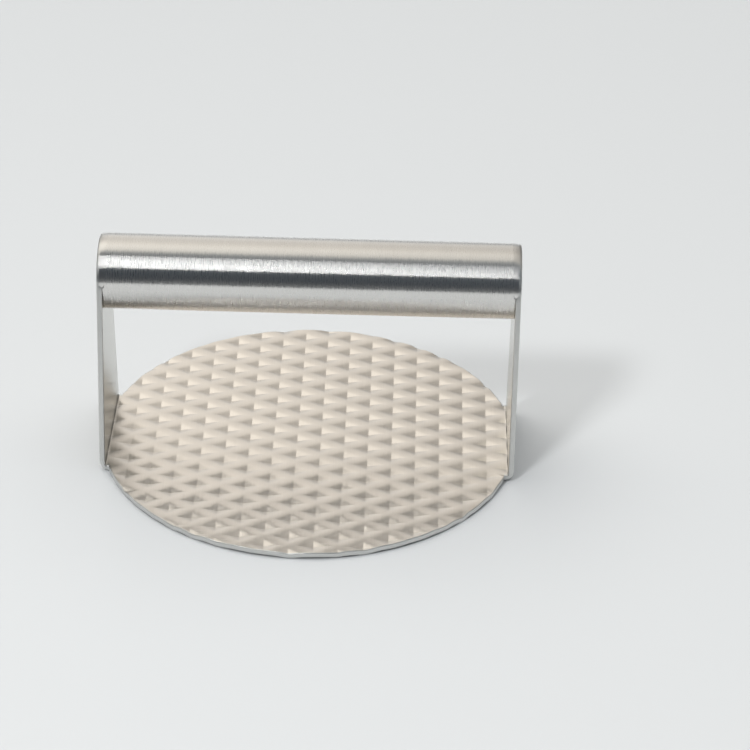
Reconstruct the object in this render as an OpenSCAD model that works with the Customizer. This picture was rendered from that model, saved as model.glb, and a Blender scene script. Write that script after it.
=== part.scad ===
// Round bacon press: an embossed plate, two legs folded up from its edge,
// and a tube handle welded between the tops of the legs.
// Millimetres, +Z up. The origin is on the resting surface, under the centre of the plate.
// X runs along the handle.

/* [Plate] */
// Diameter of the round plate
plate_d = 140; // [130:1:160]
// Thickness of the sheet that the plate and the legs are folded from
sheet_t = 1.8; // [1.5:0.1:2.2]
// Height that the embossed bumps stand out under the sheet
bump_h = 0.6; // [0.3:0.1:0.7]

/* [Embossing] */
// Distance between the diamonds of one row
pitch_x = 16.05; // [14:0.05:20]
// Distance between one row and the next but one
pitch_y = 9.62; // [8:0.01:12]
// Length of one diamond, along a row
diamond_l = 9.8; // [8:0.1:10]
// Width of one diamond, across a row
diamond_w = 6; // [4:0.1:6.2]
// Depth of one diamond below the top of the sheet
diamond_depth = 0.8; // [0.8:0.05:1.0]
// Shift of the pattern from the centre of the plate along X
pattern_x = 4.1; // [-8:0.1:8]
// Shift of the pattern from the centre of the plate along Y
pattern_y = 1.6; // [-4:0.1:4]

/* [Legs] */
// Distance from the round edge of the plate in to the outer face of a leg
leg_inset = 0.75; // [0.7:0.05:1.5]
// Width of a leg where it leaves its fold
leg_base_w = 44.5; // [36:0.5:44.5]
// Radius inside the fold between the plate and a leg
fold_r = 1.4; // [1:0.1:2]

/* [Handle] */
// Outer diameter of the handle tube
tube_d = 25; // [22:1:30]
// Wall thickness of the handle tube
tube_wall = 1.5; // [1.2:0.1:2]
// Height of the tube's axis above the resting surface
handle_h = 64.5; // [55:0.5:80]
// Width of a weld bead on the surface of the tube
weld_w = 1.8; // [1:0.1:2]

/* [Hidden] */
$fn = 180;

steel = "#c9c4bb";
bead_steel = "#b9b6b0";

plate_r = plate_d / 2;
tube_r = tube_d / 2;
top_z = bump_h + sheet_t;
leg_out_x = plate_r - leg_inset;
leg_in_x = leg_out_x - sheet_t;
weld_depth = weld_w / 2;

// Axis of the right fold
fold_out_r = fold_r + sheet_t;
fold_x = leg_out_x - fold_out_r;
fold_z = bump_h + fold_out_r;

// The straight side of a leg runs from its fold to where it touches the round of the tube
leg_base = leg_base_w / 2;
side_rise = handle_h - fold_z;
lean = atan(leg_base / side_rise) - asin(tube_r / norm([leg_base, side_rise]));
touch = [tube_r * cos(lean), handle_h + tube_r * sin(lean)];

// Plain band left between the whole diamonds and the edge of the sheet
edge_band = 0.8;
// Share of a diamond's size left as the flat at the bottom of its pit
pit_flat = 0.06;
// Depth that a bump reaches up into the sheet, and a cutter past its surface
overlap = 0.2;

// Corners of a diamond of the given scale, around the middle c, at height z
function diamond(c, scale, z) = [
    [c.x - diamond_l / 2 * scale, c.y, z],
    [c.x, c.y - diamond_w / 2 * scale, z],
    [c.x + diamond_l / 2 * scale, c.y, z],
    [c.x, c.y + diamond_w / 2 * scale, z]
];

// A diamond is whole if none of its corners comes near the edge of the sheet
function is_whole(c) = len([
    for (p = diamond(c, 1, 0))
        if (norm([p.x, p.y]) > plate_r - edge_band || abs(p.x) > fold_x - edge_band) p
]) == 0;

// Middles of the whole diamonds, in a staggered grid
columns = ceil(plate_d / pitch_x) + 1;
rows = ceil(plate_d / pitch_y) + 1;
middles = [
    for (i = [-columns:columns], j = [-rows:rows])
        let (c = [pattern_x + i * pitch_x / 2, pattern_y + j * pitch_y / 2])
            if ((i + j) % 2 == 0 && is_whole(c)) c
];

// One truncated pyramid per diamond, pointing down from z_high to z_low
module pyramids(z_high, scale_high, z_low, scale_low) {
    points = [
        for (c = middles)
            for (p = concat(diamond(c, scale_low, z_low), diamond(c, scale_high, z_high))) p
    ];
    faces = [
        for (k = [0:len(middles) - 1])
            for (f = [[0, 1, 2, 3], [7, 6, 5, 4], [0, 4, 5, 1], [1, 5, 6, 2], [2, 6, 7, 3], [3, 7, 4, 0]])
                [for (v = f) 8 * k + v]
    ];
    polyhedron(points, faces, convexity = 10);
}

// The pits in the top of the sheet
module pits() {
    grow = 1 + overlap / diamond_depth;
    pyramids(top_z + overlap, grow, top_z - diamond_depth * (1 - pit_flat), pit_flat);
}

// The bumps under the sheet: the same diamonds one sheet lower, flat where they touch the surface
module bumps() {
    tip = 1 - bump_h / diamond_depth;
    grow = 1 + overlap / diamond_depth;
    pyramids(bump_h + overlap, grow, 0, tip);
}

// The round sheet, cut straight where the legs fold up
module sheet() {
    translate([0, 0, bump_h])
        linear_extrude(sheet_t)
            intersection() {
                circle(plate_r);
                square([2 * fold_x, plate_d + 2], center = true);
            }
}

// Outline of a leg above its fold: a taper that runs into the round of the tube.
// The outline's x is the row's Y, and its y is the row's Z.
module leg_outline() {
    polygon([[-leg_base, fold_z], [leg_base, fold_z], touch, [-touch.x, touch.y]]);
    translate([0, handle_h]) circle(tube_r);
}

// The quarter turn between the sheet and a leg
module fold() {
    translate([fold_x, leg_base, fold_z])
        rotate([90, 90, 0])
            rotate_extrude(angle = 90)
                translate([fold_r, 0]) square([sheet_t, leg_base_w]);
}

// Right-angled wedge that the weld fills over the top half of the tube's right end.
// The wedge's outer side stands proud of the tube by the given height.
module weld_wedge(proud) {
    half_w = weld_depth + proud;
    translate([leg_in_x, 0, handle_h])
        rotate([90, 0, 90])
            rotate_extrude(angle = 180)
                polygon([[tube_r - weld_depth, 0], [tube_r + proud, -half_w], [tube_r + proud, half_w]]);
}

// Right leg; the left one is its mirror image
module leg() {
    difference() {
        union() {
            fold();
            translate([leg_in_x, 0, 0])
                rotate([90, 0, 90])
                    linear_extrude(sheet_t) leg_outline();
        }
        weld_wedge(overlap);
    }
}

module press_plate() {
    color(steel)
        difference() {
            union() {
                sheet();
                bumps();
            }
            pits();
        }
}

module left_leg() {
    color(steel) mirror([1, 0, 0]) leg();
}

module right_leg() {
    color(steel) leg();
}

module handle_tube() {
    color(steel)
        difference() {
            translate([-leg_in_x, 0, handle_h])
                rotate([0, 90, 0])
                    linear_extrude(2 * leg_in_x)
                        difference() {
                            circle(tube_r);
                            circle(tube_r - tube_wall);
                        }
            weld_wedge(overlap);
            mirror([1, 0, 0]) weld_wedge(overlap);
        }
}

module left_weld() {
    color(bead_steel) mirror([1, 0, 0]) weld_wedge(0);
}

module right_weld() {
    color(bead_steel) weld_wedge(0);
}

press_plate();
left_leg();
right_leg();
handle_tube();
left_weld();
right_weld();
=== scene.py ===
"""Looks of a round bacon press: an embossed plate, two legs folded up from it and a tube handle."""

import math

import bmesh
import bpy
from mathutils import Matrix, Vector


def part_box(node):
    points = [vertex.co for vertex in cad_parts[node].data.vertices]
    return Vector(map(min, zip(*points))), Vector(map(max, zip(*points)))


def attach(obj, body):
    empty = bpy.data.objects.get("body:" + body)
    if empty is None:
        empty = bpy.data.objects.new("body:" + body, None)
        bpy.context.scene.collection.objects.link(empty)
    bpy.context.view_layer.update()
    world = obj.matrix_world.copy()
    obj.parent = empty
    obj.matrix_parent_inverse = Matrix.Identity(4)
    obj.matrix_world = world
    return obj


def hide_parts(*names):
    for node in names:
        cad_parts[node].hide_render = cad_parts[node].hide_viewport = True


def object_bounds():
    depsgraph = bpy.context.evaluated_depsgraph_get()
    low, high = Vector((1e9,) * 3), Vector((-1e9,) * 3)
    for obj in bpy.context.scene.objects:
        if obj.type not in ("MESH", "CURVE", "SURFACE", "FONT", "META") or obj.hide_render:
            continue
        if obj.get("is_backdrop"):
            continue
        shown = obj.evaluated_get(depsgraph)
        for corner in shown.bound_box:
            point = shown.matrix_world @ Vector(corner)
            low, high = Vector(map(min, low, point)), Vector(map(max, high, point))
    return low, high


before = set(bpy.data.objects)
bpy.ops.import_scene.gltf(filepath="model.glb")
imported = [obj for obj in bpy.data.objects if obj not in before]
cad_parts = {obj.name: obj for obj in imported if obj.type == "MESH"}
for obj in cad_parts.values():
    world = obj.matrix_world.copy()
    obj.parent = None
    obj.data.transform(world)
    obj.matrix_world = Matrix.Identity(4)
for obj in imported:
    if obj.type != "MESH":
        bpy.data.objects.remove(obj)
cad_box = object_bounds()

MM = 0.001

# ---- Sizes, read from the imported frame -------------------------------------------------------

PLATE_LOW, PLATE_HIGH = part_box("press_plate")
LEG_LOW, LEG_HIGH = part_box("right_leg")
TUBE_LOW, TUBE_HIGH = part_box("handle_tube")
WELD_LOW, WELD_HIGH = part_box("right_weld")

PLATE_R = PLATE_HIGH.y
TOP_Z = PLATE_HIGH.z
BUMP_H = LEG_LOW.z
FOLD_X = LEG_LOW.x
LEG_OUT_X = LEG_HIGH.x
LEG_IN_X = TUBE_HIGH.x
SHEET_T = LEG_OUT_X - LEG_IN_X
FOLD_R = LEG_OUT_X - FOLD_X - SHEET_T
LEG_HALF = LEG_HIGH.y
TUBE_R = TUBE_HIGH.y
TUBE_Z = (TUBE_LOW.z + TUBE_HIGH.z) / 2
WELD_HALF = (WELD_HIGH.x - WELD_LOW.x) / 2

# ---- Embossing: the CAD plate's grid, with softer pits ---------------------------------------

# Half the pitch of the diamonds, and the shift of their grid from the plate's centre
CELL_X = 16.05 * MM / 2
CELL_Y = 9.62 * MM / 2
PATTERN_X = 4.1 * MM
PATTERN_Y = 1.6 * MM
PIT_DEPTH = 0.8 * MM
# Half the size of a pit's nominal rim, a little inside the CAD's sharp one
PIT_X = 9.3 * MM / 2
PIT_Y = 5.6 * MM / 2
# Part of the depth that is a soft swell between the ridges, and not the diamond itself
SWELL = 0.24 * MM
# Roundness of a pit's rim, as a share of the pit's size
RIM_SOFT = 0.16

# Rings of one cell: shares of the pit, then shares of the way from the pit to the cell's border
PIT_RINGS = (0.06, 0.4, 0.7, 0.87, 1.0)
LAND_RINGS = (0.2, 0.5, 1.0)
# Where each quarter of a ring is split, from its corner on X to its corner on Y
SPOKES = (0.0, 0.065, 0.35, 0.65, 0.935, 1.0)

# ---- Folds -----------------------------------------------------------------------------------

# Radius inside the folds, tighter than the CAD's. The radius outside them is the CAD's.
FOLD_IN_R = 0.4 * MM
# Shares of a fold's length where its faces are split, closest in the tight turn inside it
FOLD_CUTS = (0.12, 0.24, 0.35, 0.40, 0.45, 0.50, 0.55, 0.60, 0.65, 0.76, 0.88)
# Share of a fold's length where the stamped look ends, and how far past a cut still counts as on it
FOLD_CREASE = 0.45
CUT_SLACK = 0.01
# The pits die out over the crease: where that starts and how long it takes, in fold lengths
FADE_FROM = 0.38
FADE_OVER = 0.27
# Distance into the fold over which the bumps under the sheet die out
BUMP_FADE = 2.4 * MM

# Length of the flat sheet that goes into a fold
FOLD_MID = FOLD_R + SHEET_T / 2
FOLD_LENGTH = math.pi / 2 * FOLD_MID
# Height of a fold's upper end, and the handle's axis as a distance along the flat sheet
FOLD_Z = TOP_Z + FOLD_R
CREST = FOLD_X + FOLD_LENGTH + TUBE_Z - FOLD_Z

# ---- Edges -----------------------------------------------------------------------------------

# Rounding of a cut edge, and of a leg's ground crest on its outer side
EDGE_ROUND = 0.28 * MM
CREST_ROUND = 0.4 * MM
ROUND_STEPS = 4
# Width of the rim strip: round the plate, and round a leg, where the crest needs more
PLATE_BORDER = 0.34 * MM
LEG_BORDER = 1.05 * MM
PLATE_ARC_STEP = math.radians(0.5)
CREST_ARC_STEP = math.radians(2)
# Points closer than this become one
MERGE_DISTANCE = 0.0008 * MM
# Faces that meet at more than this keep a hard edge between them
SHARP_ANGLE = math.radians(35)
# Sine of the turn below which two borders run straight on into each other
STRAIGHT_TURN = 0.05

# ---- Ground ends of the handle ---------------------------------------------------------------

# The tops of the legs are ground round together with the welds and the tube's ends
GROUND_FROM = LEG_IN_X - 1.3 * MM
# Radius of the ground surface, seen from the front
GROUND_CURVE = 8.5 * MM
# Rise above the handle's axis where the grinding starts, in tube radii
GROUND_RISE = 0.15
# Rise over which each end of a weld runs out, in tube radii
WELD_RUN_OUT = 0.16


def smoothstep(value):
    """0 below 0, 1 above 1, and a smooth rise between."""
    t = min(max(value, 0.0), 1.0)
    return t * t * (3 - 2 * t)


def weld_share(rise):
    """1 where the weld is whole, over the tube's top, and 0 on its lower half. rise is in tube radii."""
    return smoothstep(rise / WELD_RUN_OUT)


def ground_share(rise):
    """1 where the tube's end and the leg are ground round, and 0 where they aren't."""
    return smoothstep((rise - GROUND_RISE) / (1 - GROUND_RISE))


def ground_drop(x):
    """How far the grinding takes the surface below the tube's radius, at a distance along the handle."""
    return max(0.0, abs(x) - GROUND_FROM) ** 2 / (2 * GROUND_CURVE)


# ---- Meshes ----------------------------------------------------------------------------------

def merge_and_orient(mesh):
    """Removes the zero-width faces that a rim leaves where a piece joins another, and turns the rest
    outward."""
    bm = bmesh.new()
    bm.from_mesh(mesh)
    bmesh.ops.remove_doubles(bm, verts=bm.verts[:], dist=MERGE_DISTANCE)
    bmesh.ops.dissolve_degenerate(bm, dist=MERGE_DISTANCE, edges=bm.edges[:])
    bmesh.ops.recalc_face_normals(bm, faces=bm.faces[:])
    bm.to_mesh(mesh)
    bm.free()


def new_mesh(name, points, faces, grain, materials, slots):
    """A smooth mesh object with a "grain" map whose V runs along the brushing."""
    mesh = bpy.data.meshes.new(name)
    mesh.from_pydata(points, [], faces)
    layer = mesh.uv_layers.new(name="grain")
    flat = [0.0] * (2 * len(mesh.loops))
    for k, loop in enumerate(mesh.loops):
        flat[2 * k], flat[2 * k + 1] = grain[loop.vertex_index]
    layer.data.foreach_set("uv", flat)
    for material in materials:
        mesh.materials.append(material)
    mesh.polygons.foreach_set("material_index", slots)
    mesh.polygons.foreach_set("use_smooth", [True] * len(faces))
    mesh.validate()
    merge_and_orient(mesh)
    mesh.set_sharp_from_angle(angle=SHARP_ANGLE)
    piece = bpy.data.objects.new(name, mesh)
    bpy.context.scene.collection.objects.link(piece)
    return piece


def finish_piece(piece, node):
    """Puts a piece on the one body of the press, in place of its CAD node."""
    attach(piece, "root")
    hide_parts(node)


# ---- The flat sheet: one embossed diamond cell per pit ---------------------------------------

def dent(x, y):
    """Depth of the embossing below the ridges, at a point of the flat sheet."""
    u = (x - PATTERN_X) / CELL_X
    v = (y - PATTERN_Y) / CELL_Y
    swell = SWELL * (1 + math.cos(math.pi * u) * math.cos(math.pi * v)) / 2
    p, q = round((u + v) / 2), round((u - v) / 2)
    size = abs(u - p - q) * CELL_X / PIT_X + abs(v - p + q) * CELL_Y / PIT_Y
    pit = RIM_SOFT * math.log1p(math.exp((1 - size) / RIM_SOFT))
    return min(swell + (PIT_DEPTH - SWELL) * pit, PIT_DEPTH)


def cell_faces(cx, cy):
    """Flat faces that tile the diamond cell around one pit, with lines along its creases and rims."""
    def point(ring, spoke, sx, sy):
        in_pit = min(ring, 1.0)
        beyond = max(ring - 1.0, 0.0)
        reach_x = in_pit * PIT_X + beyond * (CELL_X - PIT_X)
        reach_y = in_pit * PIT_Y + beyond * (CELL_Y - PIT_Y)
        return Vector((cx + sx * reach_x * (1 - spoke), cy + sy * reach_y * spoke))

    rings = PIT_RINGS + tuple(1 + r for r in LAND_RINGS)
    faces = []
    for sx, sy in ((1, 1), (-1, 1), (-1, -1), (1, -1)):
        # A mirrored quarter is listed backwards, so that every face looks up
        order = sx * sy
        for a, b in zip(SPOKES, SPOKES[1:]):
            tip = [point(0, a, sx, sy), point(rings[0], a, sx, sy), point(rings[0], b, sx, sy)]
            faces.append(tip[::order])
            for near, far in zip(rings, rings[1:]):
                face = [point(near, a, sx, sy), point(far, a, sx, sy),
                        point(far, b, sx, sy), point(near, b, sx, sy)]
                faces.append(face[::order])
    return faces


def clip(polygon, walls):
    """The part of a convex polygon that lies inside every wall, each a point and an outward normal."""
    for corner, outward in walls:
        depths = [(p - corner).dot(outward) for p in polygon]
        kept = []
        for k, (p, depth) in enumerate(zip(polygon, depths)):
            following = (k + 1) % len(polygon)
            if depth <= 0:
                kept.append(p)
            if (depth < 0 < depths[following]) or (depths[following] < 0 < depth):
                kept.append(p.lerp(polygon[following], depth / (depth - depths[following])))
        polygon = kept
        if len(polygon) < 3:
            return []
    return polygon


class Outline:
    """A convex outline of the flat sheet. Each edge is free, with a rounded rim, or joins another piece."""

    def __init__(self, corners, borders):
        """corners run anticlockwise; borders[k] is the width of rim along the edge after corner k."""
        count = len(corners)
        normals = []
        for k in range(count):
            along = (corners[(k + 1) % count] - corners[k]).normalized()
            normals.append(Vector((along.y, -along.x)))
        self.reaches = [
            self.reach(normals[k - 1], borders[k - 1], normals[k], borders[k]) for k in range(count)
        ]
        self.inset = [c - r for c, r in zip(corners, self.reaches)]

    @staticmethod
    def reach(n1, b1, n2, b2):
        """The step out from the inset corner that crosses both of its borders."""
        turn = n1.x * n2.y - n1.y * n2.x
        if abs(turn) < STRAIGHT_TURN:
            return (n1 + n2).normalized() * min(b1, b2)
        return Vector((b1 * n2.y - b2 * n1.y, b2 * n1.x - b1 * n2.x)) / turn

    def walls(self):
        """The inset outline's edges, each as a point and an outward normal."""
        walls = []
        for k, corner in enumerate(self.inset):
            along = (self.inset[(k + 1) % len(self.inset)] - corner).normalized()
            walls.append((corner, Vector((along.y, -along.x))))
        return walls

    def step_out(self, p):
        """The step from a point on the inset outline to the true outline."""
        best, found = None, None
        for k, a in enumerate(self.inset):
            m = (k + 1) % len(self.inset)
            along = self.inset[m] - a
            share = min(max((p - a).dot(along) / along.length_squared, 0.0), 1.0)
            away = (a + along * share - p).length_squared
            if best is None or away < best:
                best, found = away, self.reaches[k].lerp(self.reaches[m], share)
        return found


def cell_middles(outline):
    """Middles of the staggered cells that can touch an outline."""
    xs = [(p.x - PATTERN_X) / CELL_X for p in outline.inset]
    ys = [(p.y - PATTERN_Y) / CELL_Y for p in outline.inset]
    for i in range(math.floor(min(xs)) - 1, math.ceil(max(xs)) + 2):
        for j in range(math.floor(min(ys)) - 1, math.ceil(max(ys)) + 2):
            if (i + j) % 2 == 0:
                yield PATTERN_X + i * CELL_X, PATTERN_Y + j * CELL_Y


def add_cell(bm, cx, cy, walls):
    """One cell's faces, cut to the walls that cross it."""
    corners = [Vector((cx + CELL_X, cy)), Vector((cx, cy + CELL_Y)),
               Vector((cx - CELL_X, cy)), Vector((cx, cy - CELL_Y))]
    crossed = [(c, n) for c, n in walls if any((p - c).dot(n) > 0 for p in corners)]
    if not clip(corners, crossed):
        return
    for face in cell_faces(cx, cy):
        face = clip(face, crossed)
        if face:
            bm.faces.new([bm.verts.new((p.x, p.y, 0)) for p in face])


def border_of(bm):
    """The numbers of a flat mesh's border points, in order round it."""
    following = {}
    for f in bm.faces:
        for loop in f.loops:
            if len(loop.edge.link_faces) == 1:
                following[loop.vert.index] = loop.link_loop_next.vert.index
    border = [min(following)]
    for _ in range(len(following) - 1):
        border.append(following[border[-1]])
    return border


def flat_sheet(outline, cuts):
    """The cells cut to the inset outline: their points, their faces and their border in order.
    cuts are distances along X where the faces are split."""
    bm = bmesh.new()
    walls = outline.walls()
    for cx, cy in cell_middles(outline):
        add_cell(bm, cx, cy, walls)
    for x in cuts:
        bmesh.ops.bisect_plane(bm, geom=bm.verts[:] + bm.edges[:] + bm.faces[:], dist=MERGE_DISTANCE,
                               plane_co=(x, 0, 0), plane_no=(1, 0, 0))
    bmesh.ops.remove_doubles(bm, verts=bm.verts[:], dist=MERGE_DISTANCE)
    bmesh.ops.dissolve_degenerate(bm, dist=MERGE_DISTANCE, edges=bm.edges[:])
    bm.verts.index_update()
    points = [v.co.xy for v in bm.verts]
    faces = [[v.index for v in f.verts] for f in bm.faces]
    border = border_of(bm)
    bm.free()
    return points, faces, border


# ---- Rims ------------------------------------------------------------------------------------

def round_edge(border, radius):
    """A rim's quarter round, as pairs: how far in from the outline, and how deep below the face."""
    pairs = [(border, 0.0)]
    for k in range(ROUND_STEPS + 1):
        angle = math.pi / 2 * k / ROUND_STEPS
        pairs.append((radius * (1 - math.sin(angle)), radius * (1 - math.cos(angle))))
    return pairs


def blend_pairs(a, b, share):
    """Pairs part of the way from a to b."""
    return [(p + (r - p) * share, q + (s - q) * share) for (p, q), (r, s) in zip(a, b)]


def edge_rims(reach):
    """The rounded rim of a plain edge, at both faces, or none where the sheet joins the next piece."""
    pairs = round_edge(reach, min(EDGE_ROUND, reach))
    return pairs, pairs


def crest_rims(reach, ground):
    """The rim at the top of a leg: a bevel that the weld fills, and a ground round on the outside."""
    drop = ground_drop(LEG_IN_X + WELD_HALF) * ground
    inner = [(reach, 0.0)]
    for k in range(ROUND_STEPS + 1):
        share = k / ROUND_STEPS
        inner.append((WELD_HALF * (1 - share) + drop * share, WELD_HALF * share))
    outer = [(reach, 0.0)]
    radius = EDGE_ROUND + (CREST_ROUND - EDGE_ROUND) * ground
    for inward, depth in round_edge(reach, radius)[1:]:
        outer.append((inward + ground_drop(LEG_OUT_X - depth) * ground, depth))
    return inner, outer


def rim_beside(p, outline, upper, lower, rims):
    """The rim beside a border point, from the upper face to the lower: places on the flat sheet,
    heights and grain."""
    step = outline.step_out(p)
    reach = step.length
    out = step.normalized() if reach else Vector((0, 0))
    above, below = rims(p.x, reach)
    rim = [(inward, depth, False) for inward, depth in above[1:]]
    rim += [(inward, depth, True) for inward, depth in reversed(below[1:])]
    column = []
    for inward, depth, under in rim:
        q = p + out * max(reach - inward, 0.0)
        height = depth - lower(q.x, q.y) if under else -upper(q.x, q.y) - depth
        column.append((q, height, tuple(q - out * height)))
    return column


def sheet_piece(name, outline, upper, lower, rims, place, materials, cuts=(), stamped=None):
    """A piece of the sheet. upper and lower give the depth of its two faces below the ridges,
    rims the rim's pairs at both faces, and place puts a point of the flat sheet where it is.
    materials are for the faces, the rim and, if given, the part of the upper face that is stamped."""
    flat, faces, border = flat_sheet(outline, cuts)
    count = len(flat)
    points = [place(p.x, p.y, -upper(p.x, p.y)) for p in flat]
    points += [place(p.x, p.y, -lower(p.x, p.y)) for p in flat]
    grain = [tuple(p) for p in flat] * 2
    polygons = faces + [[count + k for k in reversed(f)] for f in faces]
    slots = [0] * len(polygons)
    if stamped:
        slots[:len(faces)] = [2 if all(stamped(flat[k].x) for k in f) else 0 for f in faces]
    columns = []
    for k in border:
        column = [k]
        for q, height, brushing in rim_beside(flat[k], outline, upper, lower, rims):
            column.append(len(points))
            points.append(place(q.x, q.y, height))
            grain.append(brushing)
        columns.append(column + [count + k])
    for here, there in zip(columns, columns[1:] + columns[:1]):
        for a, b, c, d in zip(here, here[1:], there[1:], there):
            polygons.append([a, b, c, d])
            slots.append(1)
    return new_mesh(name, points, polygons, grain, materials, slots)


# ---- The plate and the legs ------------------------------------------------------------------

def arc(cx, cy, radius, start, end, step):
    """Points along an arc, from start to end, both included."""
    count = max(2, round((end - start) / step))
    angles = [start + (end - start) * k / count for k in range(count + 1)]
    return [Vector((cx + radius * math.cos(a), cy + radius * math.sin(a))) for a in angles]


def plate_outline():
    """The round sheet, cut straight at both folds. Each fold's middle part joins a leg."""
    cut = math.acos(FOLD_X / PLATE_R)
    corners, borders = [], []
    for turn, side in ((0, -1), (math.pi, 1)):
        round_part = arc(0, 0, PLATE_R, turn + cut, turn + math.pi - cut, PLATE_ARC_STEP)
        corners += round_part
        corners += [Vector((side * FOLD_X, side * y)) for y in (-LEG_HALF, LEG_HALF)]
        borders += [PLATE_BORDER] * len(round_part) + [0.0, PLATE_BORDER]
    return Outline(corners, borders)


def build_plate(materials):
    def lower(x, y):
        return SHEET_T + min(dent(x, y), BUMP_H)

    def rims(_, reach):
        return edge_rims(reach)

    def place(x, y, height):
        return (x, y, TOP_Z + height)

    piece = sheet_piece("embossed_plate", plate_outline(), dent, lower, rims, place, materials)
    finish_piece(piece, "press_plate")


def bend(share, height):
    """A point in a fold, across and up from its start: straight, round and straight again."""
    reach = FOLD_R - height
    radius = FOLD_IN_R + (FOLD_R + SHEET_T - FOLD_IN_R) * min(-height / SHEET_T, 1.0)
    straight = reach - radius
    way = share * (2 * straight + math.pi / 2 * radius)
    angle = min(max(way - straight, 0.0) / radius, math.pi / 2)
    after = max(way - straight - math.pi / 2 * radius, 0.0)
    return (min(way, straight) + radius * math.sin(angle),
            height + radius * (1 - math.cos(angle)) + after)


def leg_outline(side):
    """The flat outline of a leg: straight beside the fold, a taper, then round the tube."""
    rise = TUBE_Z - FOLD_Z
    lean = math.atan(LEG_HALF / rise) - math.asin(TUBE_R / math.hypot(LEG_HALF, rise))
    start = FOLD_X + FOLD_LENGTH
    corners = [Vector((FOLD_X, -LEG_HALF)), Vector((start, -LEG_HALF))]
    corners += arc(CREST, 0, TUBE_R, lean - math.pi / 2, math.pi / 2 - lean, CREST_ARC_STEP)
    corners += [Vector((start, LEG_HALF)), Vector((FOLD_X, LEG_HALF))]
    if side < 0:
        corners = [Vector((-c.x, c.y)) for c in reversed(corners)]
    # The last edge joins the plate
    return Outline(corners, [LEG_BORDER] * (len(corners) - 1) + [0.0])


def build_leg(side, materials):
    name = "left" if side < 0 else "right"

    def along(x):
        return side * x - FOLD_X

    def upper(x, y):
        return dent(x, y) * (1 - smoothstep((along(x) / FOLD_LENGTH - FADE_FROM) / FADE_OVER))

    def lower(x, y):
        return SHEET_T + min(dent(x, y), BUMP_H) * (1 - smoothstep(along(x) / BUMP_FADE))

    def rims(x, reach):
        plain = edge_rims(reach)
        over_axis = (side * x - CREST) / TUBE_R
        if over_axis < 0:
            return plain
        inner, outer = crest_rims(reach, ground_share(over_axis))
        return blend_pairs(plain[0], inner, weld_share(over_axis)), outer

    def place(x, y, height):
        way = along(x)
        across, up = bend(min(max(way / FOLD_LENGTH, 0.0), 1.0), height)
        return (side * (FOLD_X + across), y, TOP_Z + up + max(way - FOLD_LENGTH, 0.0))

    def stamped(x):
        return along(x) < (FOLD_CREASE + CUT_SLACK) * FOLD_LENGTH

    cuts = [side * (FOLD_X + FOLD_LENGTH * share) for share in FOLD_CUTS]
    piece = sheet_piece(name + "_leg_sheet", leg_outline(side), upper, lower, rims, place,
                        materials, cuts, stamped)
    finish_piece(piece, name + "_leg")


# ---- The tube and its welds ------------------------------------------------------------------

# Wall of the tube, as in the CAD, whose boxes don't show it
TUBE_WALL = 1.5 * MM
TUBE_TURNS = 256
TUBE_END_ROUND = 0.35 * MM
# The tube's skin has close rows at its ends, from this far before the grinding starts
GROUND_MARGIN = 0.4 * MM
GROUND_STEPS = 16
# The bevel under a weld is this many times as deep as the weld's half width, so the bead covers it
BEVEL_SLACK = 1.02

# The welds run over the top of the tube, from just above its mid-height at the front to the back
WELD_START = math.radians(1.5)
WELD_SWEEP = math.pi - 2 * WELD_START
BEAD_STEPS = 160
BEAD_ACROSS = 12
# Depth of a bead's root below the tube's skin, in half widths
BEAD_ROOT = 1.3
# Each end of a bead has a small crater, and a low lump behind it
CRATER_DEPTH = 0.15 * MM
CRATER_SIZE = 0.35 * MM
LUMP_HEIGHT = 0.02 * MM
LUMP_FROM_END = 0.8 * MM
LUMP_SIZE = 0.3 * MM


def tube_skin():
    """Rows of the tube's skin, as pairs: where along the handle, and the drop of the rounded end."""
    start = GROUND_FROM - GROUND_MARGIN
    length = LEG_IN_X - TUBE_END_ROUND - start
    half = [(start + length * k / GROUND_STEPS, 0.0) for k in range(GROUND_STEPS + 1)]
    for k in range(ROUND_STEPS - 1, -1, -1):
        turn = math.pi / 2 * k / ROUND_STEPS
        half.append((LEG_IN_X - TUBE_END_ROUND * (1 - math.cos(turn)),
                     TUBE_END_ROUND * (1 - math.sin(turn))))
    return [(-x, drop) for x, drop in reversed(half)] + half


def tube_radius(x, angle):
    """Radius of the tube's skin, ground round and beveled for the weld over its top."""
    bevel = max(0.0, abs(x) - (LEG_IN_X - WELD_HALF)) * BEVEL_SLACK
    rise = math.sin(angle)
    return TUBE_R - ground_drop(x) * ground_share(rise) - bevel * weld_share(rise)


def build_tube(material):
    """The tube's skin and its plain bore, as rows of points that close into one surface."""
    bore = TUBE_R - TUBE_WALL
    points, grain, faces, rows = [], [], [], []
    for x, drop in [(-LEG_IN_X, None)] + tube_skin() + [(LEG_IN_X, None)]:
        rows.append(range(len(points), len(points) + TUBE_TURNS))
        for k in range(TUBE_TURNS):
            angle = 2 * math.pi * k / TUBE_TURNS
            r = bore if drop is None else tube_radius(x, angle) - drop
            points.append((x, -r * math.cos(angle), TUBE_Z + r * math.sin(angle)))
            grain.append((x + TUBE_R - r, angle * TUBE_R))
    for here, there in zip(rows, rows[1:] + rows[:1]):
        for k in range(TUBE_TURNS):
            m = (k + 1) % TUBE_TURNS
            faces.append([here[k], there[k], there[m], here[m]])
    piece = new_mesh("brushed_tube", points, faces, grain, [material], [0] * len(faces))
    finish_piece(piece, "handle_tube")


def bead_height(from_end):
    """Height of a bead's middle above flush, at a distance from its nearer end."""
    crater = CRATER_DEPTH * math.exp(-(from_end / CRATER_SIZE) ** 2)
    lump = LUMP_HEIGHT * math.exp(-((from_end - LUMP_FROM_END) / LUMP_SIZE) ** 2)
    return lump - crater


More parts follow.
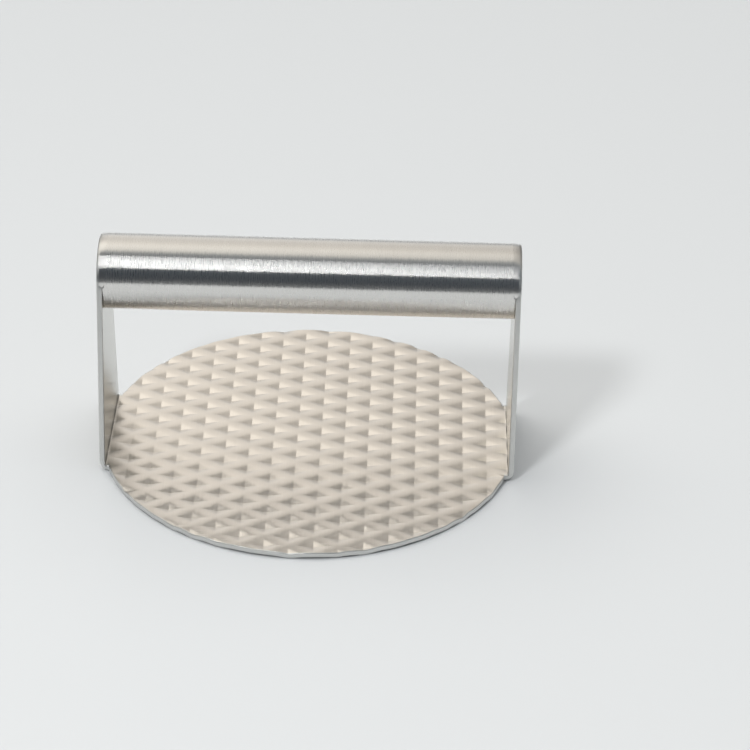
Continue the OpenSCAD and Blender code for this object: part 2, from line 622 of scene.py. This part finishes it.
def bead_section(rise, height):
    """A bead's cross-section: places along the handle and radii, over its top and then its root."""
    half = WELD_HALF * weld_share(rise)
    section = []
    for k in range(BEAD_ACROSS + 1):
        t = 2 * k / BEAD_ACROSS - 1
        x = LEG_IN_X + t * half
        section.append((x, TUBE_R - ground_drop(x) * ground_share(rise) + height * (1 - t * t)))
    return section + [(LEG_IN_X, TUBE_R - BEAD_ROOT * half)]


def build_weld(side, material):
    """One ground bead, flush with the tube and the leg."""
    name = "left" if side < 0 else "right"
    points, grain, faces, rings = [], [], [], []
    for j in range(BEAD_STEPS + 1):
        angle = WELD_START + WELD_SWEEP * j / BEAD_STEPS
        from_end = min(j, BEAD_STEPS - j) / BEAD_STEPS * WELD_SWEEP * TUBE_R
        section = bead_section(math.sin(angle), bead_height(from_end))
        rings.append(range(len(points), len(points) + len(section)))
        for x, r in section:
            points.append((side * x, -r * math.cos(angle), TUBE_Z + r * math.sin(angle)))
            grain.append((side * x, angle * TUBE_R))
    for here, there in zip(rings, rings[1:]):
        for k in range(len(here)):
            m = (k + 1) % len(here)
            faces.append([here[k], here[m], there[m], there[k]])
    faces += [list(reversed(rings[0])), list(rings[-1])]
    piece = new_mesh(name + "_bead", points, faces, grain, [material], [0] * len(faces))
    finish_piece(piece, name + "_weld")


# ---- Materials -------------------------------------------------------------------------------

# How much the shade and the gloss of brushed steel vary with the grain, broader bands and clouds
FINE_SHADE = 0.10
BROAD_SHADE = 0.06
CLOUD_SHADE = 0.05
FINE_GLOSS = 0.06
# Size of the broader bands and of the leaning scratches, across and along, in sizes of the grain
BROAD_SIZE = (9, 3)
LEAN_SIZE = (1.6, 0.5)
# Clouds per metre, which makes them about 18 mm wide
CLOUD_SCALE = 55.0

FLOOR_COLOR = (0.615, 0.632, 0.643, 1)
FLOOR_ROUGHNESS = 0.75


def add(tree, kind, inputs=None, **settings):
    """A node with its settings and inputs: each input is a value or another node's output."""
    node = tree.nodes.new(kind)
    for name, value in settings.items():
        setattr(node, name, value)
    for key, value in (inputs or {}).items():
        if isinstance(value, bpy.types.NodeSocket):
            tree.links.new(value, node.inputs[key])
        else:
            node.inputs[key].default_value = value
    return node


def math_node(tree, operation, *values):
    """The result of one arithmetic step."""
    return add(tree, "ShaderNodeMath", dict(enumerate(values)), operation=operation).outputs[0]


def vary(tree, base, noise, spread):
    """A base value that noise moves up and down, over the given spread."""
    low = math_node(tree, "SUBTRACT", base, spread / 2)
    return math_node(tree, "MULTIPLY_ADD", noise, spread, low)


def ramp(tree, fac, stops):
    """A colour ramp. stops are (position, colour) pairs, where a colour is a grey or an RGB triple."""
    node = add(tree, "ShaderNodeValToRGB", {"Fac": fac})
    elements = node.color_ramp.elements
    while len(elements) < len(stops):
        elements.new(0.5)
    for element, (position, color) in zip(elements, stops):
        rgb = color if isinstance(color, tuple) else (color, color, color)
        element.position = position
        element.color = (*rgb, 1)
    return node.outputs["Color"]


def mix(tree, fac, a, b, blend="MIX"):
    """A mix of two colours."""
    node = add(tree, "ShaderNodeMix", {0: fac, 6: a, 7: b}, data_type="RGBA", blend_type=blend)
    return node.outputs[2]


def streaks(tree, vector, across, along, detail=3.0):
    """Noise drawn out along the brushing: its size across and along the grain, in metres."""
    mapping = add(tree, "ShaderNodeMapping", {"Vector": vector, "Scale": (1 / across, 1 / along, 1)})
    noise = add(tree, "ShaderNodeTexNoise",
                {"Vector": mapping.outputs[0], "Scale": 1.0, "Detail": detail, "Roughness": 0.6},
                noise_dimensions="2D")
    return noise.outputs["Fac"]


def scratched_normal(tree, uv, fine, across, along, depth, ragged):
    """The normal of the grain, with short scratches that lean a little along the brushing."""
    lean = vary(tree, 0.5, streaks(tree, uv, LEAN_SIZE[0] * across, LEAN_SIZE[1] * along, 2.0), ragged)
    upset = add(tree, "ShaderNodeCombineXYZ", {0: 0.5, 1: lean, 2: 1.0})
    leaning = add(tree, "ShaderNodeNormalMap", {"Color": upset.outputs[0]}, uv_map="grain")
    bump = add(tree, "ShaderNodeBump", {"Height": fine, "Distance": depth, "Strength": 1.0,
                                        "Normal": leaning.outputs[0]})
    return bump.outputs[0]


def brushed_steel(name, color, roughness, spread, across, along, depth, ragged, turned=False):
    """Brushed steel. spread is how much wider its gloss is across the grain, across and along are the
    grain's size, depth its relief and ragged the lean of its scratches. The grain runs along V of the
    "grain" map, or along U if turned."""
    material = bpy.data.materials.new(name)
    material.use_nodes = True
    tree = material.node_tree
    tree.nodes.clear()
    uv = add(tree, "ShaderNodeUVMap", uv_map="grain").outputs[0]
    if turned:
        uv = add(tree, "ShaderNodeMapping", {"Vector": uv, "Rotation": (0, 0, math.pi / 2)}).outputs[0]
    fine = streaks(tree, uv, across, along)
    broad = streaks(tree, uv, BROAD_SIZE[0] * across, BROAD_SIZE[1] * along, 1.0)
    cloud = add(tree, "ShaderNodeTexNoise",
                {"Vector": uv, "Scale": CLOUD_SCALE, "Detail": 2.0}).outputs["Fac"]
    shade = vary(tree, 1.0, fine, FINE_SHADE)
    shade = vary(tree, shade, broad, BROAD_SHADE)
    shade = vary(tree, shade, cloud, CLOUD_SHADE)
    tint = add(tree, "ShaderNodeVectorMath", {0: color, "Scale": shade}, operation="SCALE")
    tangent = add(tree, "ShaderNodeTangent", direction_type="UV_MAP", uv_map="grain")
    shader = add(tree, "ShaderNodeBsdfPrincipled", {
        "Base Color": tint.outputs[0], "Metallic": 1.0,
        "Roughness": vary(tree, roughness, fine, FINE_GLOSS),
        "Anisotropic": spread, "Anisotropic Rotation": 0.25 if turned else 0.0,
        "Normal": scratched_normal(tree, uv, fine, across, along, depth, ragged),
        "Tangent": tangent.outputs[0]})
    add(tree, "ShaderNodeOutputMaterial", {"Surface": shader.outputs[0]})
    return material


def stamped_satin_steel():
    return brushed_steel("stamped_satin_steel", (0.71, 0.675, 0.63), roughness=0.34, spread=0.15,
                         across=0.32 * MM, along=14 * MM, depth=0.006 * MM, ragged=0.05)


def cut_edge_steel():
    return brushed_steel("cut_edge_steel", (0.68, 0.68, 0.66), roughness=0.36, spread=0.3,
                         across=0.25 * MM, along=3 * MM, depth=0.012 * MM, ragged=0.0, turned=True)


# Painted shade: the legs' steel is given a darker colour than the plate's, though both are one folded
# sheet, to darken the reflections on the legs' inner faces.
def satin_steel():
    return brushed_steel("satin_steel", (0.63, 0.63, 0.595), roughness=0.20, spread=0.5,
                         across=0.25 * MM, along=20 * MM, depth=0.003 * MM, ragged=0.0, turned=True)


def round_brushed_steel():
    return brushed_steel("round_brushed_steel", (0.725, 0.715, 0.695), roughness=0.28, spread=1.0,
                         across=0.22 * MM, along=4 * MM, depth=0.004 * MM, ragged=0.04)


def ground_steel():
    return brushed_steel("ground_steel", (0.72, 0.71, 0.69), roughness=0.29, spread=1.0,
                         across=0.20 * MM, along=4 * MM, depth=0.004 * MM, ragged=0.04)


def floor_material():
    material = bpy.data.materials.new("pale_floor")
    material.use_nodes = True
    shader = material.node_tree.nodes["Principled BSDF"]
    shader.inputs["Base Color"].default_value = FLOOR_COLOR
    shader.inputs["Roughness"].default_value = FLOOR_ROUGHNESS
    return material


# ---- Studio ----------------------------------------------------------------------------------

# Where the camera stands, and how far it is turned to the right, down and round its own axis
CAMERA_PLACE = Vector((31.9, -789.5, 513.5)) * MM
CAMERA_HEADING = math.radians(-0.72)
CAMERA_DOWN = math.radians(31.65)
CAMERA_ROLL = math.radians(1.18)
CAMERA_LENS = 132.3
CAMERA_SENSOR = 36
CAMERA_FAR = 100

# Way to the key light from the object, its distance, its size and its power
KEY_WAY = Vector((-0.372, -0.521, 0.766))
KEY_DISTANCE = 1.6
KEY_SIZE = (0.25, 0.25)
KEY_POWER = 9.4

# The strip light: its middle, the way that it is long, its size and its power
STRIP_MIDDLE = Vector((-0.363, -0.663, 1.07))
STRIP_ALONG = Vector((0.54, -0.527, -0.46))
STRIP_SIZE = (1.1, 0.02)
STRIP_POWER = 4.2

# Way to the middle of the fill light, its width and its strength
FILL_WAY = Vector((-0.05, 0.3, 1))
FILL_WIDTH = math.radians(80)
FILL_STRENGTH = 1.74

WORLD_STRENGTH = 4.0
# What the camera sees behind the floor
BACKDROP = (0.198, 0.2, 0.2, 1)

# Left, right, front and back edges of the floor
FLOOR = (-4.0, 4.0, -0.42, 5.0)

# The room that the steel mirrors, by turn: 0 is the horizon in front, 0.5 straight up and 1 the
# horizon behind. It is dark in front and has a bright warm wall behind.
ROOM = [
    (0.0, (0.075, 0.08, 0.085)),
    (0.03, (0.045, 0.05, 0.057)),
    (0.20, (0.065, 0.075, 0.085)),
    (0.36, (0.16, 0.175, 0.19)),
    (0.44, (0.14, 0.15, 0.16)),
    (0.49, (0.26, 0.27, 0.27)),
    (0.545, (0.60, 0.58, 0.54)),
    (0.62, (0.72, 0.69, 0.64)),
    (0.70, (0.68, 0.645, 0.59)),
    (0.81, (0.60, 0.57, 0.53)),
    (0.85, (0.58, 0.555, 0.52)),
    (0.89, (0.58, 0.56, 0.53)),
    (0.93, (0.52, 0.51, 0.49)),
    (0.965, 0.36),
    (1.0, 0.34),
]
# The room's light is dimmed from side to side, where 0 is the far left and 1 the far right: in
# front, high behind, and low behind.
FRONT = [(0.0, 0.12), (0.38, 0.24), (0.54, 0.46), (1.0, 0.50)]
HIGH_BEHIND = [(0.0, 0.20), (0.12, 0.26), (0.26, 0.60), (0.42, 0.56), (0.49, 0.34), (0.54, 0.21),
               (0.62, 0.16), (1.0, 0.12)]
LOW_BEHIND = [(0.0, 0.04), (0.24, 0.07), (0.34, 0.30), (0.41, 0.56), (0.46, 0.47), (0.52, 0.43),
              (0.56, 0.22), (0.64, 0.13), (0.74, 0.08), (1.0, 0.05)]
# The turns over which front gives way to behind, and high behind to low
FRONT_TO_BEHIND = [(0.47, 0.0), (0.56, 1.0)]
HIGH_TO_LOW = [(0.70, 0.0), (0.84, 1.0)]


def add_camera():
    data = bpy.data.cameras.new("camera")
    data.sensor_width = CAMERA_SENSOR
    data.lens = CAMERA_LENS
    data.clip_end = CAMERA_FAR
    camera = bpy.data.objects.new("camera", data)
    turn = Matrix.Rotation(-CAMERA_HEADING, 4, "Z")
    turn = turn @ Matrix.Rotation(math.pi / 2 - CAMERA_DOWN, 4, "X")
    turn = turn @ Matrix.Rotation(CAMERA_ROLL, 4, "Z")
    camera.matrix_world = Matrix.Translation(CAMERA_PLACE) @ turn
    bpy.context.scene.collection.objects.link(camera)
    bpy.context.scene.camera = camera


def add_area_light(name, middle, size, power):
    """A soft light that faces the object from a point."""
    data = bpy.data.lights.new(name, "AREA")
    data.shape = "RECTANGLE"
    data.size, data.size_y = size
    data.energy = power
    light = bpy.data.objects.new(name, data)
    light.location = middle
    light.rotation_euler = middle.to_track_quat("Z", "Y").to_euler()
    bpy.context.scene.collection.objects.link(light)
    return light


def add_key():
    """The light that casts the shadow. The steel doesn't mirror it."""
    light = add_area_light("key", KEY_WAY * KEY_DISTANCE, KEY_SIZE, KEY_POWER)
    light.visible_glossy = False


def add_strip():
    """A long slanted softbox, seen only in the steel's gloss: it draws the band along the handle."""
    facing = STRIP_MIDDLE.normalized()
    along = STRIP_ALONG.normalized()
    along = (along - facing * along.dot(facing)).normalized()
    turn = Matrix((along, facing.cross(along), facing)).transposed().to_4x4()
    light = add_area_light("strip", STRIP_MIDDLE, STRIP_SIZE, STRIP_POWER)
    light.matrix_world = Matrix.Translation(STRIP_MIDDLE) @ turn
    light.visible_diffuse = False


def add_fill():
    """Even soft light from above, from a very wide sun that the steel doesn't mirror."""
    data = bpy.data.lights.new("fill", "SUN")
    data.energy = FILL_STRENGTH
    data.angle = FILL_WIDTH
    light = bpy.data.objects.new("fill", data)
    light.rotation_euler = FILL_WAY.to_track_quat("Z", "Y").to_euler()
    light.visible_glossy = False
    bpy.context.scene.collection.objects.link(light)


def room_light(tree):
    """The colour of the room in the direction of a ray."""
    way = add(tree, "ShaderNodeTexCoord").outputs["Generated"]
    parts = add(tree, "ShaderNodeSeparateXYZ", {0: way}).outputs
    toward = math_node(tree, "MULTIPLY", parts[1], -1.0)
    angle = math_node(tree, "ARCTAN2", parts[2], toward)
    turn = math_node(tree, "DIVIDE", angle, math.pi)
    across = math_node(tree, "MULTIPLY_ADD", parts[0], 0.5, 0.5)
    behind = mix(tree, ramp(tree, turn, HIGH_TO_LOW), ramp(tree, across, HIGH_BEHIND),
                 ramp(tree, across, LOW_BEHIND))
    sides = mix(tree, ramp(tree, turn, FRONT_TO_BEHIND), ramp(tree, across, FRONT), behind)
    return mix(tree, 1.0, ramp(tree, turn, ROOM), sides, "MULTIPLY")


def add_world():
    """The room that the steel mirrors, and a plain backdrop for the camera."""
    world = bpy.data.worlds.new("studio")
    world.use_nodes = True
    tree = world.node_tree
    tree.nodes.clear()
    seen = add(tree, "ShaderNodeLightPath").outputs["Is Camera Ray"]
    shown = mix(tree, seen, room_light(tree), BACKDROP)
    background = add(tree, "ShaderNodeBackground", {"Color": shown, "Strength": WORLD_STRENGTH})
    add(tree, "ShaderNodeOutputWorld", {"Surface": background.outputs[0]})
    bpy.context.scene.world = world


def add_floor():
    """A pale table: wide, deep behind the press, and ending in front of the dark room."""
    left, right, front, back = FLOOR
    mesh = bpy.data.meshes.new("floor")
    mesh.from_pydata([(left, front, 0), (right, front, 0), (right, back, 0), (left, back, 0)],
                     [], [[0, 1, 2, 3]])
    mesh.materials.append(floor_material())
    floor = bpy.data.objects.new("floor", mesh)
    bpy.context.scene.collection.objects.link(floor)
    floor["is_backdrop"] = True


def build_studio():
    add_camera()
    add_world()
    add_floor()
    add_key()
    add_strip()
    add_fill()
    bpy.context.scene.view_settings.view_transform = "Standard"


# ---- Make everything -------------------------------------------------------------------------

def build_press():
    sheet = stamped_satin_steel()
    edge = cut_edge_steel()
    satin = satin_steel()
    ground = ground_steel()
    build_plate([sheet, edge])
    for side in (-1, 1):
        build_leg(side, [satin, edge, sheet])
        build_weld(side, ground)
    build_tube(round_brushed_steel())


def write_sizes():
    def plain(box):
        return [[float(v) for v in corner] for corner in box]

    {"cad": plain(cad_box), "visual": plain(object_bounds())}


build_studio()
build_press()
write_sizes()
